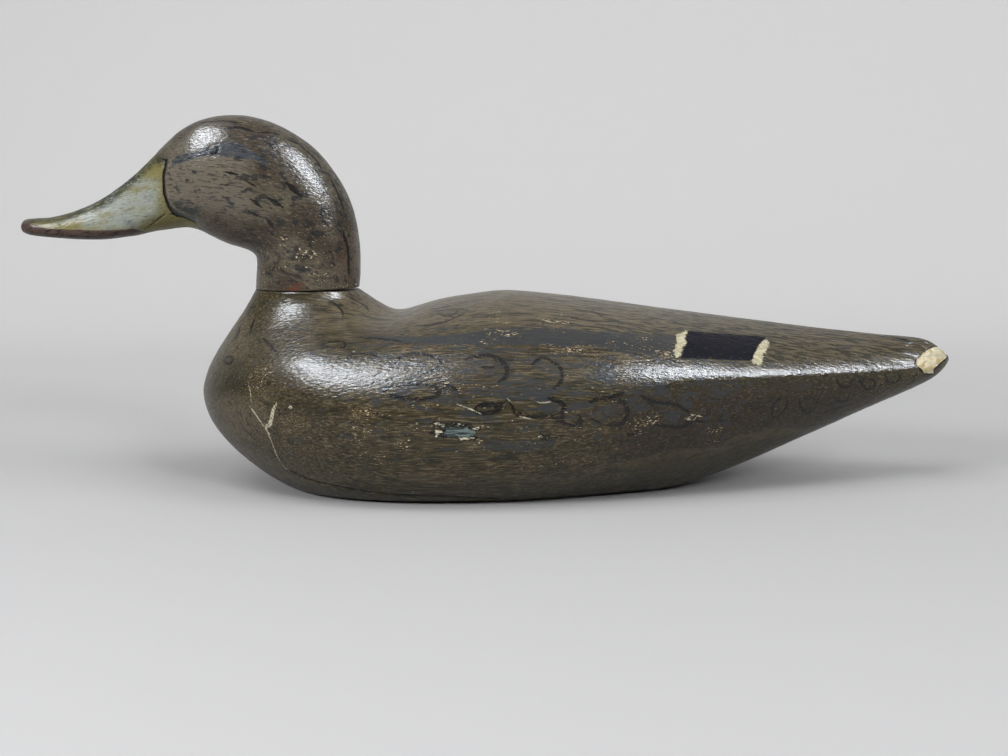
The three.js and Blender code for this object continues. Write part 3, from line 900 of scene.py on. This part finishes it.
class Shader:
    """A material's nodes. What a method takes may be a number, a colour or another node's socket."""

    def __init__(self, name):
        self.material = bpy.data.materials.new(name)
        self.material.use_nodes = True
        self.tree = self.material.node_tree
        self.tree.nodes.clear()
        self.place = self.node("TexCoord").outputs["Object"]
        self.base = None

    def node(self, kind, inputs=None, **settings):
        node = self.tree.nodes.new("ShaderNode" + kind)
        for name, value in settings.items():
            setattr(node, name, value)
        for key, value in (inputs or {}).items():
            if isinstance(value, bpy.types.NodeSocket):
                self.tree.links.new(value, node.inputs[key])
            else:
                node.inputs[key].default_value = value
        return node

    def math(self, operation, *values):
        return self.node("Math", dict(enumerate(values)), operation=operation).outputs[0]

    def add(self, *values):
        total = values[0]
        for value in values[1:]:
            total = self.math("ADD", total, value)
        return total

    def times(self, *values):
        total = values[0]
        for value in values[1:]:
            total = self.math("MULTIPLY", total, value)
        return total

    def ramp(self, value, low, high, top=1.0):
        """0 to top as value goes from low to high, smoothly."""
        inputs = {"Value": value, "From Min": low, "From Max": high, "To Max": top}
        node = self.node("MapRange", inputs, interpolation_type="SMOOTHSTEP")
        return node.outputs["Result"]

    def blend(self, share, first, second):
        """The first colour where share is 0, and the second where it is 1."""
        inputs = {0: share, 6: first, 7: second}
        return self.node("Mix", inputs, data_type="RGBA").outputs[2]

    def coat(self, tint, *shares):
        """Lays a colour over what is painted so far, by the product of its shares."""
        self.base = self.blend(self.times(*shares), self.base, tint)

    def fleck(self, value, coats):
        """Lays colours where value is high, each from low to high and up to a top share."""
        for tint, low, high, top in coats:
            self.coat(tint, self.ramp(value, low, high, top))

    def spread(self, value, reach):
        """A value from 0 to 1, as one from -reach to reach."""
        return self.times(self.math("SUBTRACT", value, 0.5), 2 * reach)

    def noise(self, size, detail=3.0, seed=0.0, roughness=0.55):
        """Noise from 0 to 1. size is the millimetres of one spot along the three directions, detail
        the number of finer layers, seed its place and roughness the strength of those layers."""
        scale = [1 / (METRES * s) for s in size]
        moved = self.node("VectorMath", {0: self.place, 1: scale, 2: (seed, seed, seed)},
                          operation="MULTIPLY_ADD").outputs[0]
        inputs = {"Vector": moved, "Scale": 1.0, "Detail": detail, "Roughness": roughness}
        return self.node("TexNoise", inputs).outputs["Fac"]

    def follow(self, name):
        """Lets the noise run along the directions that the mesh keeps under a name, in metres."""
        self.place = self.node("Attribute", attribute_name=name).outputs["Vector"]

    def field(self, name):
        """The three numbers that the mesh keeps under a name."""
        vector = self.node("Attribute", attribute_name=name).outputs["Vector"]
        return self.node("SeparateXYZ", {0: vector}).outputs

    def wobble(self, size, reach, seed):
        """Noise about 0, in millimetres, that makes painted edges uneven."""
        return self.spread(self.noise((size, size, size), 2, seed), reach)

    def within(self, distance, edge, soft=0.25):
        """1 inside an outline, from the signed distance to it."""
        return self.ramp(self.add(distance, edge), soft, -soft)

    def stroke(self, name, edge, soft=0.2, guard=1.2):
        """Where the strokes kept under a name lie. edge is noise that makes their rims uneven."""
        side, reach, half_width = self.field(name)
        across = self.add(self.math("ABSOLUTE", side), edge)
        line = self.ramp(self.math("SUBTRACT", across, half_width), soft, -soft)
        close = self.ramp(self.math("SUBTRACT", reach, half_width), guard, guard * 0.6)
        return self.times(line, close)

    def varnish(self, streaks, matt):
        """How much varnish lies on the paint: worn thin in streaks, and thin where matt is 1."""
        worn = self.ramp(streaks, 0.35, 0.5)
        kept = self.math("SUBTRACT", 1.0, self.times(matt, MATT_LOSS))
        return self.times(self.add(THIN_VARNISH, self.times(worn, COAT_WEIGHT - THIN_VARNISH)), kept)

    def wrinkled(self, wrinkle, grain):
        """The paint's height in millimetres, from its wrinkles and its grain."""
        return self.add(self.times(wrinkle, WRINKLE_HEIGHT), self.times(grain, GRAIN_HEIGHT))

    def mottled(self, value):
        """The paint's roughness, which differs a little from place to place."""
        return self.add(self.ramp(value, 0.3, 0.7, ROUGHNESS_RANGE), PAINT_ROUGHNESS)

    def finish(self, roughness, height, coat=0.0, coat_roughness=0.0):
        """Ends the material: height is in millimetres, and coat is how much varnish lies on it."""
        bump = self.node("Bump", {"Height": height, "Strength": 1.0, "Distance": METRES}).outputs[0]
        inputs = {"Base Color": self.base, "Roughness": roughness, "Normal": bump,
                  "Specular IOR Level": DULL_SPECULAR}
        if coat:
            inputs |= {"Coat Weight": coat, "Coat Roughness": coat_roughness, "Coat Normal": bump}
            inputs["Coat IOR"] = COAT_IOR
        surface = self.node("BsdfPrincipled", inputs)
        output = self.node("OutputMaterial")
        self.tree.links.new(surface.outputs[0], output.inputs["Surface"])
        return self.material


COAT_IOR = 1.6
COAT_WEIGHT = 0.55
THIN_VARNISH = 0.25
MATT_LOSS = 0.7
COAT_ROUGHNESS = 0.22
DULL_SPECULAR = 0.05
PAINT_ROUGHNESS = 0.42
ROUGHNESS_RANGE = 0.15
WRINKLE_HEIGHT = 0.19
GRAIN_HEIGHT = 0.08
BAR_HEIGHT = 0.25
BLOTCH_HEIGHT = 0.4

BROWN = colour(51, 43, 28)
OLIVE = colour(49, 44, 27)
DEEP_GREEN = colour(20, 22, 14)
LIGHT_BROWN = colour(90, 81, 63)
REAR = colour(36, 27, 16)
BELLY = colour(42, 37, 17)
SLATE = colour(42, 44, 46)
WING_BLUE = colour(9, 10, 19)
# Near black: the dark of the feather loops, splits and dabs, and also the painted shade round flecks
# and chips.
DARK_PAINT_AND_SHADE = colour(8, 8, 8)
CREAM = colour(180, 174, 151)
YELLOW_CREAM = colour(148, 144, 121)
STAIN = colour(152, 132, 88)
TAN = colour(116, 96, 66)
BARE_WOOD = colour(86, 100, 97)
CRACK_BLACK = colour(8, 7, 6)
# Worn flecks, each a colour laid from a low to a high of the noise, up to a share. The near-black
# first one is painted shade round each fleck's edge.
BODY_FLECKS_AND_RIM_SHADE = [(DARK_PAINT_AND_SHADE, 0.65, 0.69, 0.8), (TAN, 0.69, 0.72, 0.85), (CREAM, 0.74, 0.77, 1)]


def body_material():
    """Old brown paint over a solid block, brushed, dabbed with feather loops, varnished and worn."""
    s = Shader("body_paint")
    worn, brushed, tan = s.field("wear")
    rear, belly, top = s.field("zones")
    speculum, bars, slate = s.field("wing")
    chips, tail_chip, heart = s.field("chips")
    dark, pale, saddle_sheen = s.field("breast_tints_and_back_sheen")
    edge = s.wobble(1.4, 0.45, 3)
    ragged = s.wobble(1.6, 1.1, 4)
    teeth = s.wobble(1.1, 1.6, 15)
    grain = s.noise((9, 0.65, 0.65), 4, 5, 0.62)
    fine = s.noise((2.8, 0.5, 0.5), 3, 6, 0.62)
    smear = s.noise((16, 3.2, 3.2), 4, 7, 0.6)
    patchy = s.noise((14, 5, 5), 3, 12, 0.55)

    s.base = s.blend(s.ramp(s.noise((50, 24, 24), 3, 1), 0.4, 0.6), BROWN, OLIVE)
    s.coat(REAR, rear, 0.85)
    belly_edge = s.add(belly, s.spread(smear, 3))
    s.coat(BELLY, s.ramp(belly_edge, -0.5, 0.8, 0.9))
    s.coat(LIGHT_BROWN, s.ramp(belly_edge, -0.5, 0.8), s.ramp(belly_edge, 6, 1), 0.3)
    s.coat(LIGHT_BROWN, pale, 0.3)
    # Painted sheen lightens the top of the back.
    s.coat(LIGHT_BROWN, saddle_sheen, 0.6)
    s.coat(DEEP_GREEN, s.ramp(smear, 0.5, 0.66, 0.75))
    streaks = s.math("SUBTRACT", 0.88, s.times(rear, 0.5))
    s.coat(LIGHT_BROWN, s.ramp(grain, 0.5, 0.68), streaks)
    s.coat(DEEP_GREEN, s.ramp(grain, 0.48, 0.34), streaks)
    s.coat(DEEP_GREEN, dark, s.ramp(patchy, 0.3, 0.6), 0.5)
    long_grain = s.noise((70, 1.3, 1.3), 4, 8, 0.6)
    s.coat(LIGHT_BROWN, top, s.ramp(long_grain, 0.44, 0.6), 0.6)
    s.coat(DEEP_GREEN, top, s.ramp(long_grain, 0.5, 0.42), 0.75)
    s.coat(TAN, tan, s.ramp(fine, 0.5, 0.62), s.ramp(patchy, 0.42, 0.55), 0.5)
    dabs = s.add(s.noise((11, 2.4, 2.4), 4, 9, 0.62), s.times(brushed, 0.1))
    s.coat(SLATE, s.ramp(dabs, 0.6, 0.66, 0.8))
    streaky = s.spread(s.noise((6, 1.1, 1.1), 4, 10, 0.65), 5)
    s.coat(SLATE, s.within(slate, streaky, 0.8), 0.9)
    s.coat(WING_BLUE, s.within(speculum, s.times(edge, 0.6)))
    loops = s.stroke("dark_strokes", s.add(edge, -0.25), 0.3)
    s.coat(DARK_PAINT_AND_SHADE, loops, s.ramp(fine, 0.28, 0.5), 0.9)

    flecks = s.add(s.noise((2.0, 0.55, 0.55), 4, 11, 0.66), s.times(worn, 0.1))
    s.fleck(s.add(flecks, s.spread(patchy, 0.175)), BODY_FLECKS_AND_RIM_SHADE)
    dashes = s.noise((4.5, 0.5, 0.5), 3, 13, 0.6)
    s.coat(TAN, s.ramp(dashes, 0.66, 0.72, 0.65))
    # A near-black ring round each chip and round its bare heart is painted shade at the broken paint's
    # edge.
    s.coat(DARK_PAINT_AND_SHADE, s.within(chips, s.add(ragged, -0.5)))
    s.coat(CREAM, s.within(chips, s.add(ragged, s.ramp(fine, 0.55, 0.35, 1.5))))
    s.coat(DARK_PAINT_AND_SHADE, s.within(heart, s.add(ragged, -0.35)))
    bared = s.within(heart, ragged)
    s.coat(BARE_WOOD, bared)
    s.coat(DARK_PAINT_AND_SHADE, bared, s.ramp(grain, 0.53, 0.44, 0.9))
    # The near-black ring round the tail's chip is painted shade at its broken edge.
    s.coat(DARK_PAINT_AND_SHADE, s.within(tail_chip, s.add(edge, -0.7)))
    s.coat(CREAM, s.within(tail_chip, edge))
    s.coat(STAIN, s.within(tail_chip, edge), s.ramp(patchy, 0.42, 0.6, 0.7))
    bar = s.within(bars, teeth)
    s.coat(YELLOW_CREAM, bar)
    blotches = s.noise((2, 1.4, 1.4), 3, 14)
    s.coat(CREAM, bar, s.ramp(blotches, 0.46, 0.58, 0.8))
    s.coat(STAIN, bar, s.ramp(blotches, 0.42, 0.32, 0.6))
    s.coat(CREAM, s.stroke("pale_strokes", edge), s.ramp(fine, 0.36, 0.56, 0.8))
    s.coat(DARK_PAINT_AND_SHADE, s.stroke("splits", edge), 0.9)
    s.coat(CRACK_BLACK, s.stroke("crack", 0.0))

    height = s.wrinkled(s.noise((2.4, 1.0, 1.0), 1, 21, 0.5), grain)
    height = s.add(height, s.times(bar, s.add(BAR_HEIGHT, s.times(blotches, BLOTCH_HEIGHT))))
    roughness = s.mottled(s.noise((6, 3, 3), 3, 23))
    matt = s.add(s.within(speculum, edge), bar, s.within(tail_chip, edge))
    return s.finish(roughness, height, s.varnish(fine, matt), COAT_ROUGHNESS)


CROWN = colour(74, 68, 56)
HEAD_BROWN = colour(52, 44, 33)
MAUVE = colour(85, 79, 69)
HEAD_PALE = colour(106, 98, 82)
HEAD_SLATE = colour(22, 25, 28)
STRIPE = colour(50, 54, 60)
EYE_DARK = colour(14, 15, 20)
BILL_OLIVE = colour(101, 95, 60)
BILL_SLATE_AND_SHEEN = colour(122, 128, 124)
MUSTARD = colour(98, 91, 50)
RIDGE_DARK = colour(30, 34, 23)
RIM_BROWN = colour(64, 51, 45)
RUST_RED = colour(78, 42, 29)
CHIN = colour(20, 31, 27)
CUT_BLACK = colour(5, 6, 6)
# Worn flecks as on the body; the near-black first one is painted shade round each fleck's edge.
HEAD_FLECKS_AND_RIM_SHADE = [(DARK_PAINT_AND_SHADE, 0.66, 0.70, 0.7), (TAN, 0.71, 0.74, 0.8), (CREAM, 0.76, 0.79, 1)]


def head_material():
    """The head's paint: brown with dark and light dabs, a slate eye stripe and an olive-grey bill."""
    s = Shader("head_paint")
    s.follow("flow")
    ahead, rim, cut = s.field("bill")
    eye, stripe, mauve = s.field("eye")
    worn, dabbed, chin = s.field("wear")
    grey, mustard, crest = s.field("bill_tints")
    warm, strip, edge_highlight = s.field("warm")
    edge = s.wobble(1.3, 0.4, 3)
    fine = s.noise((2.6, 0.6, 0.6), 3, 6, 0.62)
    curl = s.noise((5, 0.9, 0.9), 3, 7, 0.62)
    blotch = s.noise((4, 2.4, 2.4), 3, 8, 0.6)

    s.base = s.blend(s.ramp(s.noise((26, 16, 20), 3, 1), 0.4, 0.6), CROWN, HEAD_BROWN)
    s.coat(MAUVE, mauve, 0.9)
    s.coat(HEAD_SLATE, s.ramp(curl, 0.48, 0.36, 0.7))
    s.coat(HEAD_PALE, s.ramp(fine, 0.54, 0.68, 0.6))
    dabs = s.add(s.noise((6, 3, 3), 3, 9, 0.55), s.times(dabbed, 0.06))
    s.coat(HEAD_SLATE, s.ramp(dabs, 0.6, 0.66, 0.75))
    s.coat(RUST_RED, warm, s.ramp(blotch, 0.42, 0.56), 0.8)
    s.coat(CHIN, chin, s.ramp(blotch, 0.3, 0.5), 0.85)
    striped = s.times(s.within(stripe, edge, 0.35), s.ramp(fine, 0.68, 0.56, 0.92))
    s.coat(STRIPE, striped)
    s.coat(EYE_DARK, striped, s.ramp(curl, 0.5, 0.4, 0.7))
    s.coat(EYE_DARK, s.within(s.math("SUBTRACT", eye, EYE_RADIUS), 0.0))
    s.coat(STRIPE, s.within(s.math("SUBTRACT", eye, EYE_RADIUS * 0.5), 0.0, 0.3))
    flecks = s.noise((1.9, 0.8, 0.8), 3, 11, 0.6)
    s.fleck(s.add(flecks, s.times(worn, 0.15)), HEAD_FLECKS_AND_RIM_SHADE)

    paint = s.base
    cloud = s.noise((14, 6, 6), 4, 16, 0.6)
    # Slate paint lightened to silver on the olive bill, part of it painted sheen.
    s.base = s.blend(s.times(grey, s.ramp(cloud, 0.3, 0.58, 0.9)), BILL_OLIVE, BILL_SLATE_AND_SHEEN)
    s.coat(RIDGE_DARK, s.ramp(curl, 0.52, 0.7, 0.4))
    s.coat(MUSTARD, mustard, s.ramp(cloud, 0.3, 0.55), 0.7)
    s.coat(MUSTARD, strip, 0.6)
    ridge = s.add(crest, s.ramp(cloud, 0.52, 0.68, 0.4))
    s.coat(RIDGE_DARK, ridge, s.ramp(curl, 0.32, 0.5, 0.9))
    s.coat(CREAM, s.ramp(fine, 0.62, 0.74, 0.5))
    s.coat(DEEP_GREEN, s.ramp(fine, 0.4, 0.3, 0.7))
    rimmed = s.ramp(s.add(rim, edge), -0.3, 0.3)
    s.coat(RIM_BROWN, rimmed)
    s.coat(DARK_PAINT_AND_SHADE, rimmed, s.ramp(curl, 0.48, 0.38, 0.8))
    bill = s.base
    s.base = paint
    s.coat(bill, s.ramp(ahead, -0.3, 0.3))
    # A painted highlight along the cheek's edge, beside the cut.
    s.coat(HEAD_PALE, edge_highlight, s.ramp(fine, 0.4, 0.6), 0.6)
    s.coat(CUT_BLACK, s.ramp(s.add(cut, s.wobble(2, 0.35, 12)), 1.05, 0.6))
    s.coat(DARK_PAINT_AND_SHADE, s.stroke("dark_strokes", edge), s.ramp(fine, 0.25, 0.45), 0.92)

    height = s.wrinkled(s.noise((1.9, 0.9, 0.9), 1, 21, 0.5), fine)
    roughness = s.mottled(s.noise((5, 3, 3), 3, 23))
    matt = s.add(striped, s.ramp(ahead, -0.3, 0.3, 0.7))
    return s.finish(roughness, height, s.varnish(fine, matt), COAT_ROUGHNESS)


PAPER_LOW = colour(167, 167, 168)
PAPER_HIGH = colour(191, 191, 191)
PAPER_RISE = 0.3
PAPER_ROUGHNESS = 0.8
PAPER_HEIGHT = 0.02


def backdrop_material():
    """Pale paper, a little lighter where it rises behind the decoy."""
    s = Shader("backdrop_paper")
    behind = s.node("SeparateXYZ", {0: s.place}).outputs[1]
    risen = s.ramp(behind, 0, BEND_START + PAPER_RISE * BEND_RADIUS)
    s.base = s.blend(risen, PAPER_LOW, PAPER_HIGH)
    return s.finish(PAPER_ROUGHNESS, s.times(s.noise((4, 4, 4), 2, 2), PAPER_HEIGHT))


CROWD_RISE = 1.2
CROWD_PLACE = -144
CROWD_REACH = 9


def even(x):
    """No crowding of a loft's rings."""
    return np.ones_like(x)


def cheek_crowd(x):
    """Rings crowd together where the cheek meets the bill."""
    return 1 + CROWD_RISE * np.exp(-((x - CROWD_PLACE) / CROWD_REACH) ** 2)


body_loft = Loft(BODY_STATIONS, BODY_HALF_WIDTH, flatten_bottom)
body_mesh = body_loft.build(BODY_RINGS, BODY_SIDES, even, body_near_detail)
dress("painted_body", body_mesh, paint_body, body_relief, "body", body_material())
head_loft = Loft(HEAD_STATIONS, HEAD_HALF_WIDTH, carve_head)
head_mesh = head_loft.build(HEAD_RINGS, HEAD_SIDES, cheek_crowd, near_cheek)
dress("painted_head", head_mesh, paint_head, head_relief, "head", head_material())


# The stage, lights and camera, in metres

FLOOR_FRONT = -1.6
BEND_START = 0.5
BEND_RADIUS = 0.75
WALL_TOP = 2.6
STAGE_HALF_WIDTH = 2.6
BEND_STEPS = 24
LIGHT_AIM = (0, 0, 0.06)
DAYLIGHT = (0.95, 1.0, 1.08)
ROOM_LIGHT = 0.18


def backdrop():
    """A pale sheet that lies on the floor and curves up behind."""
    profile = [(FLOOR_FRONT, 0)]
    for k in range(BEND_STEPS + 1):
        turn = 0.5 * math.pi * k / BEND_STEPS
        profile.append((BEND_START + BEND_RADIUS * math.sin(turn), BEND_RADIUS * (1 - math.cos(turn))))
    profile.append((BEND_START + BEND_RADIUS, WALL_TOP))
    vertices = [(side * STAGE_HALF_WIDTH, y, z) for y, z in profile for side in (-1, 1)]
    faces = [(2 * i, 2 * i + 1, 2 * i + 3, 2 * i + 2) for i in range(len(profile) - 1)]
    mesh = bpy.data.meshes.new("backdrop")
    mesh.from_pydata(vertices, [], faces)
    for polygon in mesh.polygons:
        polygon.use_smooth = True
    mesh.materials.append(backdrop_material())
    sheet = bpy.data.objects.new("backdrop", mesh)
    bpy.context.scene.collection.objects.link(sheet)


def soft_light(name, azimuth, elevation, distance, width, height, strength):
    """A lamp aimed at the decoy. azimuth 0 is towards the camera and 90 towards the tail.
    strength is how bright it makes a white surface that faces it, beside the decoy."""
    turn, rise = math.radians(azimuth), math.radians(elevation)
    aim = Vector((math.sin(turn) * math.cos(rise), -math.cos(turn) * math.cos(rise), math.sin(rise)))
    light = bpy.data.lights.new(name, "AREA")
    light.shape = "RECTANGLE"
    light.size = width
    light.size_y = height
    light.energy = strength * (math.pi * distance) ** 2
    lamp = bpy.data.objects.new(name, light)
    lamp.location = Vector(LIGHT_AIM) + distance * aim
    lamp.rotation_euler = aim.to_track_quat("Z", "Y").to_euler()
    bpy.context.scene.collection.objects.link(lamp)
    return lamp


# Azimuth, elevation, distance, width, height and strength of each lamp. These light the paint and
# cast the shadows.
LIT_LAMPS = {
    "left_low": (-48, 23, 1.3, 0.3, 0.2, 0.78),
    "right_low": (27, 27, 1.5, 0.3, 0.3, 0.34),
    "left_high": (-45, 60, 3, 2.2, 1.6, 0.48),
    "right_front": (55, 35, 3, 2.2, 1.8, 0.34),
    "right_high": (75, 48, 3, 2.2, 1.8, 0.32),
}
# These only show as highlights in the varnish.
WINDOWS = {
    "side_window": (-84, 62, 3, 0.9, 0.6, 0.75),
    "left_window": (-48, 56, 3, 0.4, 1.2, 0.85),
    "right_window": (61, 46, 3, 0.4, 1.7, 1.7),
}

backdrop()
for lamp_name, numbers in LIT_LAMPS.items():
    soft_light(lamp_name, *numbers).visible_glossy = False
for lamp_name, numbers in WINDOWS.items():
    window = soft_light(lamp_name, *numbers)
    window.visible_diffuse = False
    window.data.color = DAYLIGHT

world = bpy.data.worlds.new("room")
world.use_nodes = True
world.node_tree.nodes["Background"].inputs["Color"].default_value = (1, 1, 1, 1)
world.node_tree.nodes["Background"].inputs["Strength"].default_value = ROOM_LIGHT
bpy.context.scene.world = world
bpy.context.scene.view_settings.view_transform = "Standard"

camera = bpy.data.cameras.new("photo_camera")
camera.lens = LENS
camera.sensor_width = SENSOR
viewer = bpy.data.objects.new("photo_camera", camera)
viewer.location = Vector(CAMERA_PLACE) * METRES
viewer.rotation_euler = (math.pi / 2 - CAMERA_PITCH, 0, 0)
bpy.context.scene.collection.objects.link(viewer)
bpy.context.scene.camera = viewer
